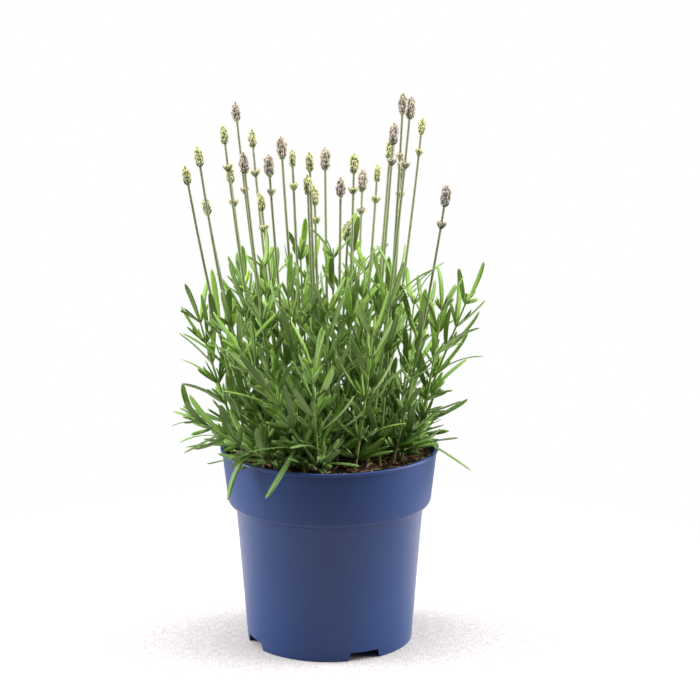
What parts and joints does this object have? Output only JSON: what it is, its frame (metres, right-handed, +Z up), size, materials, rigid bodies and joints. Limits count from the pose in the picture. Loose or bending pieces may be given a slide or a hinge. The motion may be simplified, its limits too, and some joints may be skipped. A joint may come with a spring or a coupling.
{
  "type": "potted lavender plant",
  "caption": "A bushy lavender in bud: slim flowering stems above narrow grey-green leaves, growing in compost in a round blue nursery pot with a deep collar.",
  "frame": {"origin": "the middle of the pot's foot, on the surface that the pot stands on, which is also the middle of the bounding box's underside", "axes": "+Z up along the pot's axis, -Y towards the side that was looked at, +X to the right of that side"},
  "size_m": [0.2088, 0.1765, 0.3824],
  "materials": {
    "pot_plastic": "satin moulded plastic, deep blue",
    "compost": "moist dark compost with bark and fibre",
    "flower_stem": "soft green stem with green and mauve buds",
    "leafy_shoot": "soft fresh green leaf",
    "low_shoot": "soft deep green leaf"
  },
  "bodies": {
    "root": {"pot": "pot_plastic", "compost": "compost", "flower_stem_01": "flower_stem", "flower_stem_02": "flower_stem", "flower_stem_03": "flower_stem", "flower_stem_04": "flower_stem", "flower_stem_05": "flower_stem", "flower_stem_06": "flower_stem", "flower_stem_07": "flower_stem", "flower_stem_08": "flower_stem", "flower_stem_09": "flower_stem", "flower_stem_10": "flower_stem", "flower_stem_11": "flower_stem", "flower_stem_12": "flower_stem", "flower_stem_13": "flower_stem", "flower_stem_14": "flower_stem", "flower_stem_15": "flower_stem", "flower_stem_16": "flower_stem", "flower_stem_17": "flower_stem", "flower_stem_18": "flower_stem", "flower_stem_19": "flower_stem", "flower_stem_20": "flower_stem", "flower_stem_21": "flower_stem", "flower_stem_22": "flower_stem", "flower_stem_23": "flower_stem", "flower_stem_24": "flower_stem", "flower_stem_25": "flower_stem", "flower_stem_26": "flower_stem", "flower_stem_27": "flower_stem", "flower_stem_28": "flower_stem", "leafy_shoot_01": "leafy_shoot", "leafy_shoot_02": "leafy_shoot", "leafy_shoot_03": "leafy_shoot", "leafy_shoot_04": "leafy_shoot", "leafy_shoot_05": "leafy_shoot", "leafy_shoot_06": "leafy_shoot", "leafy_shoot_07": "leafy_shoot", "leafy_shoot_08": "leafy_shoot", "leafy_shoot_09": "leafy_shoot", "leafy_shoot_10": "leafy_shoot", "leafy_shoot_11": "leafy_shoot", "leafy_shoot_12": "leafy_shoot", "leafy_shoot_13": "leafy_shoot", "leafy_shoot_14": "leafy_shoot", "leafy_shoot_15": "leafy_shoot", "leafy_shoot_16": "leafy_shoot", "leafy_shoot_17": "leafy_shoot", "leafy_shoot_18": "leafy_shoot", "leafy_shoot_19": "leafy_shoot", "leafy_shoot_20": "leafy_shoot", "leafy_shoot_21": "leafy_shoot", "leafy_shoot_22": "leafy_shoot", "leafy_shoot_23": "leafy_shoot", "leafy_shoot_24": "leafy_shoot", "low_shoot_1": "low_shoot", "low_shoot_2": "low_shoot", "low_shoot_3": "low_shoot", "low_shoot_4": "low_shoot", "low_shoot_5": "low_shoot", "low_shoot_6": "low_shoot"}
  },
  "joints": []
}
